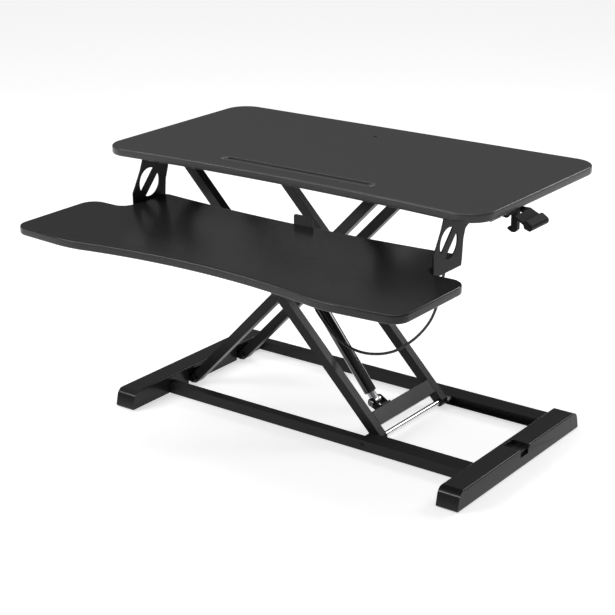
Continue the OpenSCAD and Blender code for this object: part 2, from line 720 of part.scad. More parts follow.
left_foot();
right_foot();
foot_end_caps();
foot_beams();
rubber_pads();
front_rail();
rear_rail();
front_track();
rear_track();
base_pivot_ears();
base_pivot_bolts();
rail_screws();
front_inner_arm();
rear_inner_arm();
inner_cross_tube();
centre_bolts();
inner_arm_bushes();
upper_axle();
spring_bracket();
upper_front_roller();
upper_rear_roller();
front_outer_arm();
rear_outer_arm();
outer_arm_bushes();
lower_cross_tube();
spring_clevis();
clevis_pin();
lower_axle();
lower_front_roller();
lower_rear_roller();
gas_cylinder();
cylinder_eye();
gas_rod();
release_head();
head_pin();
release_trigger();
desktop();
device_slot();
slot_screws();
cable_port_plug();
front_desk_track();
rear_desk_track();
desk_pivot_brackets();
desk_pivot_bolts();
left_tray_hanger();
right_tray_hanger();
hanger_screws();
keyboard_tray();
tray_stop();
lever_housing();
lever_pin();
release_lever();
lever_spring();
release_cable();
cable_ends();
bag_hook();
hook_screws();
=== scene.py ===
"""The looks of a standing desk converter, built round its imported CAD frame."""

import math

import bmesh
import bpy
import numpy as np
from mathutils import Matrix, Vector
from mathutils.geometry import tessellate_polygon


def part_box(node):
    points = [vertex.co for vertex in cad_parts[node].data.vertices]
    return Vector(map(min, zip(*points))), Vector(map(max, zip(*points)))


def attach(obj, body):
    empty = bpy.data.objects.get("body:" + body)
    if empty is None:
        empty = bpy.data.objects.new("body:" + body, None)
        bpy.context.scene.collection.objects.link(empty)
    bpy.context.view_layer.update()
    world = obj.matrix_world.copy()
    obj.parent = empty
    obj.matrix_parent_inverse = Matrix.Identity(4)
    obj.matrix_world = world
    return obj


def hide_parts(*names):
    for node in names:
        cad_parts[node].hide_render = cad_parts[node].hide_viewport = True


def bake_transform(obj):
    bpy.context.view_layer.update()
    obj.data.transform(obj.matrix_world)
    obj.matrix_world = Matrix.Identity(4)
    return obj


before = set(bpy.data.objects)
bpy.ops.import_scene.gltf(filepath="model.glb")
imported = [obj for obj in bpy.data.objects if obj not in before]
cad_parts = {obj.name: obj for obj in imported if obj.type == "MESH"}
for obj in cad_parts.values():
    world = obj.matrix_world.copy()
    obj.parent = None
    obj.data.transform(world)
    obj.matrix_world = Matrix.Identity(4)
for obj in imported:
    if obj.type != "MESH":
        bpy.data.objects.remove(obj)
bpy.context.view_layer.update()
MM = 0.001

# ---------------------------------------------------------------- camera
# A long lens on a tripod, turned to the right of the object's front and looking a little down.
# It stands well back, so that the lift's upright lines stay nearly parallel.
AZIMUTH, ELEVATION, ROLL = math.radians(36.901), math.radians(20.064), math.radians(-0.598)
STANDPOINT = (1.5854, -2.1358, 1.2260)
level = math.cos(ELEVATION)
back = Vector((math.sin(AZIMUTH) * level, -math.cos(AZIMUTH) * level, math.sin(ELEVATION)))
right = Vector((math.cos(AZIMUTH), math.sin(AZIMUTH), 0))
up = back.cross(right)
right_rolled = math.cos(ROLL) * right + math.sin(ROLL) * up
up_rolled = math.cos(ROLL) * up - math.sin(ROLL) * right
lens = bpy.data.cameras.new("long_lens")
lens.sensor_width = 36
lens.lens = 93.563
lens.clip_start, lens.clip_end = 0.1, 200
camera = bpy.data.objects.new("camera", lens)
turned_to_view = Matrix((right_rolled, up_rolled, back)).transposed().to_4x4()
camera.matrix_world = Matrix.Translation(STANDPOINT) @ turned_to_view
bpy.context.scene.collection.objects.link(camera)
bpy.context.scene.camera = camera
bpy.context.scene.view_settings.view_transform = "Standard"


# ---------------------------------------------------------------- floor and light
# White acrylic on a light table, lit by a wide softbox overhead and two narrow ones, behind on
# the right and in front on the left. The walls are grey low down and white overhead.
def linear(hex_colour):
    """An sRGB hex colour as linear red, green, blue and alpha."""
    srgb = np.array([int(hex_colour[i : i + 2], 16) / 255 for i in (1, 3, 5)])
    return (*np.where(srgb <= 0.04045, srgb / 12.92, ((srgb + 0.055) / 1.055) ** 2.4), 1.0)


def add(tree, kind, sockets=None, **settings):
    """Adds a node, gives it its settings, and sets or links each named or numbered socket."""
    node = tree.nodes.new(kind)
    for name, value in settings.items():
        setattr(node, name, value)
    for name, value in (sockets or {}).items():
        if isinstance(value, bpy.types.NodeSocket):
            tree.links.new(value, node.inputs[name])
        else:
            node.inputs[name].default_value = value
    return node


def new_finish(name):
    """An empty material, with the outputs of its object coordinates and its shader node."""
    material = bpy.data.materials.new(name)
    material.use_nodes = True
    tree = material.node_tree
    tree.nodes.clear()
    shader = add(tree, "ShaderNodeBsdfPrincipled")
    add(tree, "ShaderNodeOutputMaterial", {"Surface": shader.outputs[0]})
    return material, tree, add(tree, "ShaderNodeTexCoord").outputs["Object"], shader


def noise(tree, here, size, detail, roughness=0.5):
    """A noise pattern between 0 and 1, with spots of about the given size in metres."""
    return add(
        tree,
        "ShaderNodeTexNoise",
        {"Vector": here, "Scale": 1 / size, "Detail": detail, "Roughness": roughness},
    )


def tint(tree, shader, pattern, dark, light):
    """Runs the base colour from dark to light along a pattern."""
    tone = add(
        tree,
        "ShaderNodeMix",
        {0: pattern.outputs[0], 6: linear(dark), 7: linear(light)},
        data_type="RGBA",
    )
    tree.links.new(tone.outputs[2], shader.inputs["Base Color"])


def vary_gloss(tree, shader, pattern, smooth, rough):
    """Runs the roughness from smooth to rough along a pattern."""
    gloss = add(
        tree, "ShaderNodeMapRange", {"Value": pattern.outputs[0], "To Min": smooth, "To Max": rough}
    )
    tree.links.new(gloss.outputs[0], shader.inputs["Roughness"])


def raise_grain(tree, shader, pattern, strength, height):
    """Lets a pattern stand out of the surface by a height in metres."""
    relief = add(
        tree,
        "ShaderNodeBump",
        {"Height": pattern.outputs[0], "Strength": strength, "Distance": height},
    )
    tree.links.new(relief.outputs[0], shader.inputs["Normal"])


def grid_faces(rows, columns):
    """Quads of a grid of rows of points, each row a closed ring."""
    a = np.arange(rows - 1)[:, None] * columns + np.arange(columns)[None, :]
    b = np.arange(rows - 1)[:, None] * columns + (np.arange(columns)[None, :] + 1) % columns
    return np.stack([a, b, b + columns, a + columns], -1).reshape(-1, 4)


def tube_faces(rows, columns):
    """The faces of a grid of closed rings, with one more face over each end."""
    faces = grid_faces(rows, columns).tolist()
    faces.append(list(range(columns))[::-1])
    faces.append([(rows - 1) * columns + i for i in range(columns)])
    return faces


def add_piece(name, points, faces, material, sharp=40):
    """A mesh piece, smooth but for edges sharper than the given angle in degrees."""
    mesh = bpy.data.meshes.new(name)
    mesh.from_pydata(np.asarray(points, float).reshape(-1, 3).tolist(), [], faces)
    mesh.polygons.foreach_set("use_smooth", np.ones(len(mesh.polygons), bool))
    mesh.set_sharp_from_angle(angle=math.radians(sharp))
    mesh.materials.append(material)
    piece = bpy.data.objects.new(name, mesh)
    bpy.context.scene.collection.objects.link(piece)
    return piece


FLOOR_HALF = 30
acrylic, tree, here, shader = new_finish("white acrylic, lit from below")
haze = noise(tree, here, 40 * MM, 3)
tint(tree, shader, haze, "#dcdcdc", "#e2e2e2")
shader.inputs["Roughness"].default_value = 0.9
shader.inputs["Emission Color"].default_value = linear("#ffffff")
shader.inputs["Emission Strength"].default_value = 0.6
corners = np.array([[-1, -1, 0], [1, -1, 0], [1, 1, 0], [-1, 1, 0]]) * FLOOR_HALF
floor = add_piece("studio_floor", corners, [[0, 1, 2, 3]], acrylic)


def softbox(name, place, aim, width, height, power):
    """A rectangular area light at place, facing aim."""
    light = bpy.data.lights.new(name, "AREA")
    light.shape, light.size, light.size_y, light.energy = "RECTANGLE", width, height, power
    lamp = bpy.data.objects.new(name, light)
    lamp.location = place
    lamp.rotation_mode = "QUATERNION"
    lamp.rotation_quaternion = (Vector(aim) - Vector(place)).to_track_quat("-Z", "Y")
    bpy.context.scene.collection.objects.link(lamp)


softbox("overhead", (-0.3, 0.0, 2.6), (0, 0, 0.3), 2.0, 2.0, 23)
softbox("behind_right", (1.1, 2.1, 1.55), (0, 0, 0.2), 0.9, 0.6, 15)
softbox("front_left", (-1.6, -2.1, 1.6), (0, 0, 0.3), 1.4, 0.25, 36)

world = bpy.data.worlds.new("studio walls")
bpy.context.scene.world = world
world.use_nodes = True
tree = world.node_tree
tree.nodes.clear()
height = add(tree, "ShaderNodeSeparateXYZ", {0: add(tree, "ShaderNodeTexCoord").outputs["Generated"]})
walls = add(tree, "ShaderNodeValToRGB", {0: height.outputs["Z"]})
for stop, position, colour in zip(walls.color_ramp.elements, (0.2, 0.9), ("#6c6c6c", "#ffffff")):
    stop.position, stop.color = position, linear(colour)
glow = add(tree, "ShaderNodeBackground", {"Color": walls.outputs[0], "Strength": 0.55})
add(tree, "ShaderNodeOutputWorld", {"Surface": glow.outputs[0]})

# ---------------------------------------------------------------- release cable
# A steel wire in a black PVC jacket. It leaves the lever's housing, hangs in one loop on the
# right, crosses in front of the gas spring and ends in the tab of the spring's release head.
desk_low, desk_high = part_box("desktop")
desk_middle = Vector(((desk_low.x + desk_high.x) / 2, desk_high.y - 200 * MM, 0))
CABLE_RADIUS = 2.5 * MM
CABLE_SIDES = 12
CABLE_STEPS = 6
cable_route = (
    np.array(
        [
            [341.4, -62, 468], [325, -62, 466], [308, -66, 459], [296, -72, 447],
            [289, -75, 432], [285, -75, 415], [279, -72, 397], [270, -70, 382], [258, -68, 367],
            [250, -66, 351], [242, -63, 317], [232, -60, 283], [218, -58, 253], [197, -56, 225],
            [171, -53, 200], [144, -50, 180], [120, -47, 168], [99, -45, 161], [77, -42, 156],
            [56, -39, 154], [34, -35, 155], [12, -31, 160], [-8, -30, 171], [-26, -29.5, 187],
            [-42, -29.2, 203], [-53, -28.5, 219], [-57.5, -25.5, 234], [-62, -19, 250],
            [-69, -14, 264], [-76, -12, 274],
        ]
    )
    * MM
    + np.array(desk_middle)
)


def smooth_route(points, steps):
    """Catmull-Rom curve through the points: a cubic between each two, level with its neighbours."""
    padded = np.vstack([points[:1], points, points[-1:]])
    a, b, c, d = (padded[i : len(points) - 1 + i][:, None] for i in range(4))
    f = (np.arange(steps) / steps)[None, :, None]
    bent = (2 * a - 5 * b + 4 * c - d) * f**2 + (3 * b - a - 3 * c + d) * f**3
    curve = 0.5 * (2 * b + (c - a) * f + bent)
    return np.vstack([curve.reshape(-1, 3), points[-1:]])


def swept(path, section, axis=(0, 1, 0)):
    """Points and faces of a section carried along a path: each ring holds section's first number
    along the cross product of the path's direction and axis, and its second across both."""
    direction = np.gradient(path, axis=0)
    direction /= np.linalg.norm(direction, axis=1)[:, None]
    across = np.cross(direction, np.array(axis, float))
    across /= np.linalg.norm(across, axis=1)[:, None]
    over = np.cross(direction, across)
    section = np.broadcast_to(section, (len(path), *np.shape(section)[-2:]))
    rings = path[:, None] + section[..., :1] * across[:, None] + section[..., 1:] * over[:, None]
    return rings, tube_faces(len(path), rings.shape[1])


def round_section(radius, sides):
    """A circle of points, counted from the first axis to the second."""
    turn = 2 * math.pi * np.arange(sides) / sides
    return radius * np.stack([np.cos(turn), np.sin(turn)], -1)


# PVC gives a soft, even sheen with faint drag marks from the extruder.
jacket, tree, here, shader = new_finish("black PVC cable jacket")
drag = noise(tree, here, 6 * MM, 2)
tint(tree, shader, drag, "#080808", "#111111")
vary_gloss(tree, shader, drag, 0.34, 0.48)
shader.inputs["IOR"].default_value = 1.53

cable_line = smooth_route(cable_route, CABLE_STEPS)
cable_rings, _ = swept(cable_line, round_section(CABLE_RADIUS, CABLE_SIDES))
AT_BOTTOM, AT_CYLINDER = 19 * CABLE_STEPS, 24 * CABLE_STEPS


def cable_stretch(name, first, last):
    """The cable's rings from first to last, closed at both ends."""
    rings = cable_rings[first : last + 1]
    stretch = add_piece(name, rings, tube_faces(len(rings), CABLE_SIDES), jacket, 60)
    return stretch


hanging = cable_stretch("cable_hanging_loop", 0, AT_BOTTOM)
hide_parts("release_cable")
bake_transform(hanging)
crossing = cable_stretch("cable_across_spring", AT_BOTTOM, AT_CYLINDER)
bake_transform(crossing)
climbing = cable_stretch("cable_to_release_head", AT_CYLINDER, len(cable_line) - 1)
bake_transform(climbing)


# ---------------------------------------------------------------- feet
# Two long shells of moulded ABS over steel beams, closed by rounded end caps and standing on
# rubber pads. The right shell has a finger notch across its top.
def eased(node, material, body, width, segments=3, corner=30):
    """A copy of a CAD node with its triangles welded into whole faces and its edges rounded."""
    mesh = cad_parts[node].data.copy()
    shape = bmesh.new()
    shape.from_mesh(mesh)
    bmesh.ops.remove_doubles(shape, verts=shape.verts, dist=2e-6)
    flat = math.radians(0.6)
    bmesh.ops.dissolve_limit(shape, angle_limit=flat, verts=shape.verts, edges=shape.edges)
    shape.to_mesh(mesh)
    shape.free()
    mesh.polygons.foreach_set("use_smooth", np.ones(len(mesh.polygons), bool))
    mesh.set_sharp_from_angle(angle=math.radians(corner))
    mesh.materials.clear()
    mesh.materials.append(material)
    piece = bpy.data.objects.new(node + "_finished", mesh)
    bpy.context.scene.collection.objects.link(piece)
    bevel = piece.modifiers.new("eased edges", "BEVEL")
    bevel.width, bevel.segments = width, segments
    bevel.limit_method, bevel.angle_limit = "ANGLE", math.radians(corner)
    bevel.harden_normals = True
    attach(piece, body)
    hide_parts(node)
    return piece


# Moulded ABS from a polished tool: semi-gloss, with a slight waviness in the highlights.
foot_abs, tree, here, shader = new_finish("moulded black ABS, semi-gloss")
waves = noise(tree, here, 35 * MM, 2)
spark = noise(tree, here, 1.6 * MM, 3)
tint(tree, shader, spark, "#1c1c1d", "#242425")
vary_gloss(tree, shader, waves, 0.16, 0.24)
raise_grain(tree, shader, spark, 0.25, 0.06 * MM)
shader.inputs["Specular IOR Level"].default_value = 0.2
shader.inputs["IOR"].default_value = 1.52

eased("left_foot", foot_abs, "base", 1.2 * MM)
eased("right_foot", foot_abs, "base", 1.2 * MM)
eased("foot_end_caps", foot_abs, "base", 1.2 * MM, corner=25)

# Powder coat: a baked satin skin with fine orange peel, a shade lighter where it lies thin.
powder_coat, tree, here, shader = new_finish("satin black powder coat")
peel = noise(tree, here, 2.0 * MM, 4, 0.6)
cloud = noise(tree, here, 60 * MM, 2)
tint(tree, shader, peel, "#141415", "#222223")
vary_gloss(tree, shader, cloud, 0.3, 0.4)
raise_grain(tree, shader, peel, 0.35, 0.08 * MM)
shader.inputs["Specular IOR Level"].default_value = 0.16

# Darker coat on the pressed brackets, sprayed in one thin pass over steel sheet.
bracket_coat, tree, here, shader = new_finish("thin black powder coat on pressed steel")
peel = noise(tree, here, 1.8 * MM, 4, 0.6)
tint(tree, shader, peel, "#0f0f10", "#191919")
vary_gloss(tree, shader, peel, 0.36, 0.5)
raise_grain(tree, shader, peel, 0.3, 0.06 * MM)
shader.inputs["Specular IOR Level"].default_value = 0.15

eased("foot_beams", bracket_coat, "base", 1.5 * MM)

# Rubber: dull, with a dusty bloom from the mould.
rubber, tree, here, shader = new_finish("moulded black rubber")
bloom = noise(tree, here, 3 * MM, 5)
tint(tree, shader, bloom, "#101010", "#232323")
raise_grain(tree, shader, bloom, 0.3, 0.1 * MM)
shader.inputs["Roughness"].default_value = 0.82

eased("rubber_pads", rubber, "base", 0.8 * MM)

# ---------------------------------------------------------------- base rails and tracks
# Square steel tubes between the feet, with a C-shaped track welded to the right half of each,
# in which the lower rollers run. All of it is powder coated after welding.
for node in ("front_rail", "rear_rail"):
    eased(node, powder_coat, "base", 1.6 * MM, 4)
for node in ("front_track", "rear_track"):
    eased(node, powder_coat, "base", 0.4 * MM, 2)
eased("base_pivot_ears", bracket_coat, "base", 0.4 * MM, 2)

# Black oxide: a thin chemical blackening that leaves the steel's shine under it.
black_steel, tree, here, shader = new_finish("black oxide steel")
bloom = noise(tree, here, 2.5 * MM, 4)
tint(tree, shader, bloom, "#1b1b1b", "#303031")
vary_gloss(tree, shader, bloom, 0.26, 0.42)
shader.inputs["Metallic"].default_value = 0.75

eased("base_pivot_bolts", black_steel, "base", 0.5 * MM, 2)
eased("rail_screws", black_steel, "base", 0.3 * MM, 2)

# ---------------------------------------------------------------- inner frame
# Two square tube arms, round at their ends, held apart by a cross tube at the middle. It turns
# on bolts in the left foot, and a chrome axle joins its upper ends.
for node in ("front_inner_arm", "rear_inner_arm"):
    eased(node, powder_coat, "inner_frame", 2.0 * MM, 4)
eased("inner_cross_tube", powder_coat, "inner_frame", 1.6 * MM, 3)
eased("spring_bracket", bracket_coat, "inner_frame", 0.4 * MM, 2)
eased("centre_bolts", black_steel, "inner_frame", 0.8 * MM, 3)

# Nylon bushes are moulded dark and waxy.
dark_nylon, tree, here, shader = new_finish("moulded black nylon")
flow = noise(tree, here, 4 * MM, 3)
tint(tree, shader, flow, "#141414", "#1f1f1f")
raise_grain(tree, shader, flow, 0.2, 0.08 * MM)
shader.inputs["Roughness"].default_value = 0.45
shader.inputs["IOR"].default_value = 1.53

eased("inner_arm_bushes", dark_nylon, "inner_frame", 0.3 * MM, 2)

# ---------------------------------------------------------------- outer frame
# Two more arms outside the inner ones, joined near the floor by a broad cross tube that carries
# the gas spring's clevis, and by a chrome axle through their lower ends.
for node in ("front_outer_arm", "rear_outer_arm"):
    eased(node, powder_coat, "outer_frame", 2.0 * MM, 4)
eased("lower_cross_tube", powder_coat, "outer_frame", 1.8 * MM, 4)
eased("outer_arm_bushes", dark_nylon, "outer_frame", 0.3 * MM, 2)
eased("spring_clevis", bracket_coat, "outer_frame", 0.6 * MM, 3)


# ---------------------------------------------------------------- axles and rollers
# Ground steel bars, chrome plated, with a chamfer and a ring groove near each end. The rollers
# are turned from natural nylon: a crowned tread, a hub and a dished face between them.
def turned(profile, centre, axis, sides=48):
    """Points and faces of a turned piece: each (distance, radius) of the profile becomes a ring
    of that radius round the axis, at that distance from the centre along it. A profile that ends
    where it begins has no end faces."""
    along = np.array(Vector(axis).normalized())
    across = np.cross(along, (1, 0, 0) if abs(along[0]) < 0.9 else (0, 1, 0))
    across /= np.linalg.norm(across)
    over = np.cross(along, across)
    profile = np.array(profile, float)
    circle = round_section(1, sides)
    round_it = circle[:, :1] * across + circle[:, 1:] * over
    rings = np.array(centre) + profile[:, 0, None, None] * along + profile[:, 1, None, None] * round_it
    if np.array_equal(profile[0], profile[-1]):
        return rings, grid_faces(len(profile), sides).tolist()
    return rings, tube_faces(len(profile), sides)


def axle_profile(half):
    """A bar of the axle's radius from -half to half, with chamfered ends and two ring grooves."""
    radius, chamfer, groove = 5 * MM, 0.7 * MM, 0.5 * MM
    at = half - 1.8 * MM
    right_half = [
        (at - 0.6 * MM, radius), (at - 0.6 * MM, radius - groove), (at, radius - groove),
        (at, radius), (half - chamfer, radius), (half, radius - chamfer),
    ]
    return [(-d, r) for d, r in right_half[::-1]] + right_half


# Chrome plate over ground steel: mirror bright, with hair-fine rings left by the grinding.
chrome, tree, here, shader = new_finish("chrome plate on ground steel")
stretched = add(tree, "ShaderNodeMapping", {"Vector": here, "Scale": (12, 900, 12)})
rings_left = add(tree, "ShaderNodeTexNoise", {"Vector": stretched.outputs[0], "Scale": 1, "Detail": 2})
tint(tree, shader, rings_left, "#d6d6d8", "#e8e8ea")
vary_gloss(tree, shader, rings_left, 0.14, 0.22)
shader.inputs["Metallic"].default_value = 1.0

for node, body in (("upper_axle", "inner_frame"), ("lower_axle", "outer_frame")):
    low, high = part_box(node)
    axle = add_piece(
        node + "_bar", *turned(axle_profile((high.y - low.y) / 2), (low + high) / 2, (0, 1, 0)), chrome
    )
    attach(axle, body)
    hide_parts(node)

# Natural nylon: milky white, with turning marks. The real nylon is slightly see-through at thin edges;
# this finish is opaque.
nylon, tree, here, shader = new_finish("natural nylon")
marks = noise(tree, here, 1.5 * MM, 3)
tint(tree, shader, marks, "#cfcec8", "#e4e3dd")
raise_grain(tree, shader, marks, 0.2, 0.05 * MM)
shader.inputs["Roughness"].default_value = 0.38
shader.inputs["IOR"].default_value = 1.53

ROLLER_BORE = 5.05 * MM
roller_bodies = {
    "upper_front_roller": "upper_front_wheel",
    "upper_rear_roller": "upper_rear_wheel",
    "lower_front_roller": "lower_front_wheel",
    "lower_rear_roller": "lower_rear_wheel",
}
for node, body in roller_bodies.items():
    low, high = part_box(node)
    half, tread = (high.y - low.y) / 2, (high.z - low.z) / 2
    ease, dish = 0.9 * MM, 0.8 * MM
    right_half = [
        (half, ROLLER_BORE), (half, ROLLER_BORE + ease), (half - dish, ROLLER_BORE + 1.3 * MM),
        (half - dish, tread - 1.4 * MM), (half - 0.2 * MM, tread - ease),
        (half - ease, tread - 0.15 * MM),
        (half - 2 * ease, tread),
    ]
    outer = right_half + [(-d, r) for d, r in right_half[::-1]]
    rings, faces = turned((outer + outer[:1])[::-1], (low + high) / 2, (0, 1, 0), 40)
    roller = add_piece(node + "_turned", rings, faces, nylon)
    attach(roller, body)
    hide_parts(node)

# ---------------------------------------------------------------- gas spring
# A sealed steel cylinder in gloss black enamel, rolled in at both ends, with a zinc-plated eye
# screwed to its foot and a chrome rod that carries the release head.
pin_low, pin_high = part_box("clevis_pin")
head_low, head_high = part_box("head_pin")
lower_eye, upper_eye = (pin_low + pin_high) / 2, (head_low + head_high) / 2
lower_eye.y = upper_eye.y = desk_middle.y - 12 * MM
spring_axis = (upper_eye - lower_eye).normalized()
spring_length = (upper_eye - lower_eye).length

# Gloss enamel: a deep, wet-looking black with a faint ripple.
enamel, tree, here, shader = new_finish("gloss black enamel on steel tube")
ripple = noise(tree, here, 9 * MM, 2)
tint(tree, shader, ripple, "#0a0a0a", "#131313")
vary_gloss(tree, shader, ripple, 0.12, 0.22)
raise_grain(tree, shader, ripple, 0.1, 0.1 * MM)
shader.inputs["Coat Weight"].default_value = 0.6
shader.inputs["Coat Roughness"].default_value = 0.08

CYLINDER_RADIUS, CYLINDER_FROM, CYLINDER_TO = 12 * MM, 18 * MM, 224 * MM
ROLL_IN, BORE = 3 * MM, 5.05 * MM
bend = np.linspace(0, math.pi / 2, 6)
drawn_in = CYLINDER_RADIUS - ROLL_IN * (1 - np.sin(bend))
closed_end = np.stack([CYLINDER_FROM + ROLL_IN * (1 - np.cos(bend)), drawn_in], -1)
rod_end = np.stack([CYLINDER_TO - ROLL_IN * (1 - np.cos(bend)), drawn_in], -1)[::-1]
collar = [
    (CYLINDER_TO, 6.4 * MM), (CYLINDER_TO - 1.5 * MM, 6.0 * MM), (CYLINDER_TO - 1.5 * MM, BORE),
    (CYLINDER_TO - 124 * MM, BORE),
]
cylinder_profile = np.vstack([[(CYLINDER_FROM, 4 * MM)], closed_end, rod_end, collar])
cylinder = add_piece("gas_cylinder_tube", *turned(cylinder_profile, lower_eye, spring_axis, 72), enamel)
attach(cylinder, "spring_cylinder")
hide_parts("gas_cylinder")

ROD_RADIUS, ROD_FROM, HEAD_LENGTH = 5 * MM, 160 * MM, 28 * MM
rod_profile = [
    (ROD_FROM, ROD_RADIUS - 0.6 * MM), (ROD_FROM + 0.6 * MM, ROD_RADIUS),
    (spring_length - HEAD_LENGTH, ROD_RADIUS),
]
rod = add_piece("gas_rod_bar", *turned(rod_profile, lower_eye, spring_axis), chrome)
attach(rod, "spring_rod")
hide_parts("gas_rod")

# Bright zinc plate: a cool grey metal, duller and patchier than the chrome.
zinc, tree, here, shader = new_finish("bright zinc plate")
patches = noise(tree, here, 3 * MM, 4)
tint(tree, shader, patches, "#a9a9ac", "#c6c6ca")
vary_gloss(tree, shader, patches, 0.2, 0.38)
shader.inputs["Metallic"].default_value = 0.95

# Matt black ABS: spark-eroded in the mould, so that it scatters the light evenly.
matt_abs, tree, here, shader = new_finish("moulded black ABS, matt")
spark = noise(tree, here, 1.2 * MM, 4, 0.6)
tint(tree, shader, spark, "#111111", "#1b1b1b")
vary_gloss(tree, shader, spark, 0.42, 0.58)
raise_grain(tree, shader, spark, 0.3, 0.08 * MM)
shader.inputs["Specular IOR Level"].default_value = 0.15
shader.inputs["IOR"].default_value = 1.52

eased("cylinder_eye", zinc, "spring_cylinder", 0.9 * MM)
eased("clevis_pin", chrome, "outer_frame", 0.8 * MM)
eased("release_head", matt_abs, "spring_rod", 0.8 * MM)
eased("head_pin", zinc, "spring_rod", 0.4 * MM, 2)
eased("release_trigger", black_steel, "trigger", 0.5 * MM, 2)


# ---------------------------------------------------------------- desktop
# A fibre board wrapped in charcoal foil, which turns over a small arris all round. A plastic
# channel to stand a phone or tablet in is let into its front, and a plug fills its cable port.
def arc(x, y, radius, start, end, steps):
    """Points of an arc round (x, y), from one angle in degrees to another."""
    turn = np.radians(np.linspace(start, end, steps + 1))
    return np.stack([x + radius * np.cos(turn), y + radius * np.sin(turn)], -1)


def rounded_rect(x, y, width, depth, radius):
    """A counter-clockwise rectangle with rounded corners round (x, y), seen from above."""
    half_w, half_d = width / 2 - radius, depth / 2 - radius
    signs = ((1, -1, 270), (1, 1, 0), (-1, 1, 90), (-1, -1, 180))
    corners = [arc(x + i * half_w, y + j * half_d, radius, a, a + 90, 7) for i, j, a in signs]
    return np.vstack(corners)


def inset(outline, distance):
    """A counter-clockwise outline drawn in by a distance: each point moves along the sum of its
    two edges' inward normals, divided by half of that sum's square, which keeps edges parallel."""
    edges = np.roll(outline, -1, 0) - outline
    edges /= np.linalg.norm(edges, axis=1)[:, None]
    inward = np.stack([-edges[:, 1], edges[:, 0]], -1)
    both = inward + np.roll(inward, 1, 0)
    return outline + distance * both / (np.square(both).sum(1) / 2)[:, None]


def board(name, outline, low, high, arris, material, holes=()):
    """A board: its outline on rings from low to high, drawn in near both faces by
    arris x (1 - sin t) at a height of arris x (1 - cos t). A hole is a list of outlines and
    heights from the top down."""
    rim, t = 1.5 * MM, np.linspace(0, math.pi / 2, 8)
    draw, lift = arris * (1 - np.sin(t)), arris * (1 - np.cos(t))
    drawn = np.concatenate([[arris + rim], draw, draw[::-1], [arris + rim]])
    levels = np.concatenate([[low], low + lift, high - lift[::-1], [high]])
    stacks = [[(inset(outline, d), z) for d, z in zip(drawn, levels)]]
    stacks += [[(inset(hole[0][0], -rim), high), *hole] for hole in holes]
    points, faces, loops = [], [], []
    for number, stack in enumerate(stacks):
        first, count = len(points), len(stack[0][0])
        points += [(x, y, z) for ring, z in stack for x, y in ring]
        faces += (grid_faces(len(stack), count) + first).tolist()
        last = np.arange(len(points) - count, len(points))
        faces.append(last.tolist() if number else list(range(first, first + count))[::-1])
        loops.append(np.arange(first, first + count) if number else last)
    order = np.concatenate(loops)
    for triangle in tessellate_polygon([[Vector(points[i]) for i in loop] for loop in loops]):
        a, b, c = (int(order[i]) for i in triangle)
        turn = (Vector(points[b]) - Vector(points[a])).cross(Vector(points[c]) - Vector(points[a])).z
        faces.append([a, b, c] if turn > 0 else [a, c, b])
    return add_piece(name, points, faces, material, 50)


# Foil over fibre board: charcoal, satin, with a pressed grain of fine pits. The grain is drawn
# coarser than the real 0.4 mm, which would be too fine to show.
desk_foil, tree, here, shader = new_finish("satin charcoal foil with a pressed grain")
pits = noise(tree, here, 2.4 * MM, 5, 0.65)
cloud = noise(tree, here, 90 * MM, 2)
tint(tree, shader, pits, "#2c2c2d", "#454545")
vary_gloss(tree, shader, cloud, 0.2, 0.26)
raise_grain(tree, shader, pits, 0.4, 0.12 * MM)
shader.inputs["Specular IOR Level"].default_value = 0.3

middle = np.array(desk_middle.xy)
half_x, corner_r = (desk_high.x - desk_low.x) / 2, 45 * MM
rear_y, front_y = desk_high.y - middle[1] - corner_r, desk_low.y - middle[1] + corner_r
DIP = 15.5 * MM
side_x = half_x - corner_r
dip_radius = (side_x**2 + DIP**2) / (2 * DIP)
front_x = np.linspace(-side_x, side_x, 49)[1:-1]
front_edge = np.sqrt(dip_radius**2 - front_x**2) - dip_radius + front_y - corner_r + DIP
desk_outline = np.vstack(
    [
        arc(side_x, front_y, corner_r, 270, 360, 14), arc(side_x, rear_y, corner_r, 0, 90, 14),
        arc(-side_x, rear_y, corner_r, 90, 180, 14), arc(-side_x, front_y, corner_r, 180, 270, 14),
        np.stack([front_x, front_edge], -1),
    ]
)
top, under = desk_high.z, desk_low.z
SLOT_Y, PLUG = -148.5 * MM, (-24 * MM, 129 * MM)
# width, depth, corner radius and depth below the top of each step down a pocket, in millimetres
slot_steps = (
    (331.4, 26.4, 11.7, 0), (331, 26, 11.5, 0.2), (331, 26, 11.5, 1.3),
    (326, 21, 8, 1.3), (326, 21, 8, 9),
)
plug_steps = (
    (13.8, 7.8, 3.8, 0), (13.6, 7.6, 3.7, 0.1), (13.6, 7.6, 3.7, 0.7),
    (12, 6, 2.9, 0.7), (12, 6, 2.9, 12),
)
slot_hole, plug_hole = (
    [
        (rounded_rect(*place, w * MM, d * MM, r * MM) + middle, top - z * MM)
        for w, d, r, z in steps
    ]
    for place, steps in (((0, SLOT_Y), slot_steps), (PLUG, plug_steps))
)
desk_board = board(
    "desktop_board", desk_outline + middle, under, top, 3 * MM, desk_foil, (slot_hole, plug_hole)
)
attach(desk_board, "platform")
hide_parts("desktop")

# Matt grey ABS: the same spark-eroded skin, in a lighter grey.
grey_abs, tree, here, shader = new_finish("moulded grey ABS, matt")
spark = noise(tree, here, 1.2 * MM, 4, 0.6)
tint(tree, shader, spark, "#3a3a3b", "#484849")
vary_gloss(tree, shader, spark, 0.45, 0.6)
raise_grain(tree, shader, spark, 0.3, 0.08 * MM)
shader.inputs["Specular IOR Level"].default_value = 0.25
shader.inputs["IOR"].default_value = 1.52

eased("device_slot", grey_abs, "platform", 0.25 * MM, 2)
eased("slot_screws", zinc, "platform", 0.15 * MM, 2)
eased("cable_port_plug", matt_abs, "platform", 0.2 * MM, 2)

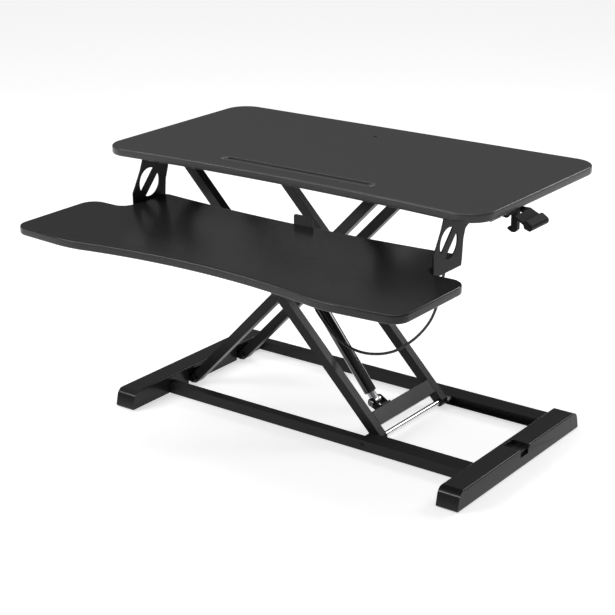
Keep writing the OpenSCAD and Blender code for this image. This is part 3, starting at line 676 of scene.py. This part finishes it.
# ---------------------------------------------------------------- desktop tracks and pivots
# C-shaped steel tracks screwed under the desktop, in which the upper rollers run, and pressed
# brackets that hold the outer arms' upper ends on bolts.
for node in ("front_desk_track", "rear_desk_track"):
    eased(node, powder_coat, "platform", 0.4 * MM, 2)
eased("desk_pivot_brackets", bracket_coat, "platform", 0.4 * MM, 2)
eased("desk_pivot_bolts", black_steel, "platform", 0.5 * MM, 2)

# ---------------------------------------------------------------- keyboard tray
# A second board in black foil, hung from the desktop on two laser-cut steel plates, each with a
# round window crossed by a slanting bar. A plastic tab at the back stops a keyboard.
tray_low, tray_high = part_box("keyboard_tray")
HANGER_X = 322
# Foil a shade darker than the desktop's, with the same pressed grain.
tray_foil, tree, here, shader = new_finish("satin black foil with a pressed grain")
pits = noise(tree, here, 2.4 * MM, 5, 0.65)
tint(tree, shader, pits, "#191919", "#262626")
raise_grain(tree, shader, pits, 0.4, 0.12 * MM)
shader.inputs["Specular IOR Level"].default_value = 0.3
shader.inputs["Roughness"].default_value = 0.22

front_x = np.arange(0, 226, 25.0)
rear_x = np.arange(280, -1, -40.0)
tray_half = np.vstack(
    [
        np.stack([front_x, -412 - front_x**2 / 2360], -1),
        arc(278.9, -192.8, 247, 261, 275, 7), arc(374, -405, 28, 275, 360, 12),
        arc(372, -267, 30, 0, 90, 12), arc(HANGER_X + 19, -216, 22, 270, 180, 10),
        arc(HANGER_X - 15, -141, 12, 0, 90, 8), np.stack([rear_x, -145.6 + rear_x**2 / 5680], -1),
    ]
)
other_half = tray_half[-2:0:-1] * (-1, 1)
tray_board = board(
    "keyboard_tray_board", np.vstack([tray_half, other_half]) * MM + middle, tray_low.z, tray_high.z,
    3 * MM, tray_foil,
)
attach(tray_board, "platform")
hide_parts("keyboard_tray")
for node in ("left_tray_hanger", "right_tray_hanger"):
    eased(node, bracket_coat, "platform", 0.5 * MM, 2, 25)
eased("hanger_screws", black_steel, "platform", 0.3 * MM, 2)
eased("tray_stop", grey_abs, "platform", 0.6 * MM)

# ---------------------------------------------------------------- release lever
# A moulded lever on a steel pin under the desktop's right edge, held down by a torsion spring.
# Squeezing its lip pulls the cable.
for node in ("lever_housing", "bag_hook"):
    eased(node, matt_abs, "platform", 0.6 * MM, 3, 20)
eased("release_lever", matt_abs, "lever", 0.8 * MM, 3, 20)
eased("lever_pin", zinc, "platform", 0.4 * MM, 2)
eased("cable_ends", zinc, "platform", 0.2 * MM, 2)
eased("hook_screws", black_steel, "platform", 0.2 * MM, 2)

COIL_RADIUS, WIRE_RADIUS, COIL_TURNS = 4.4 * MM, 0.75 * MM, 2
COIL_LENGTH, COIL_LEG = 3.8 * MM, 4 * MM
pin_low, pin_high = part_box("lever_pin")
pin_middle = np.array((pin_low + pin_high) / 2)
turn = np.linspace(0, 2 * math.pi * COIL_TURNS, 24 * COIL_TURNS + 1)
helix = np.stack(
    [
        COIL_RADIUS * np.sin(turn),
        COIL_LENGTH * (turn / turn[-1] - 0.5),
        COIL_RADIUS * np.cos(turn),
    ],
    -1,
)
helix = np.vstack([[helix[0] - (COIL_LEG, 0, 0)], helix, [helix[-1] + (COIL_LEG, 0, 0)]])
coil_points, coil_faces = [], []
for side in (-1, 1):
    # one coil on each side of the lever's hub
    centre = (pin_middle[0], desk_middle.y + (-62 + side * 8) * MM, pin_middle[2])
    rings, faces = swept(helix + centre, round_section(WIRE_RADIUS, 10))
    coil_faces += [[i + len(coil_points) for i in face] for face in faces]
    coil_points += rings.reshape(-1, 3).tolist()
coils = add_piece("lever_spring_coils", coil_points, coil_faces, zinc)
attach(coils, "platform")
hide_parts("lever_spring")
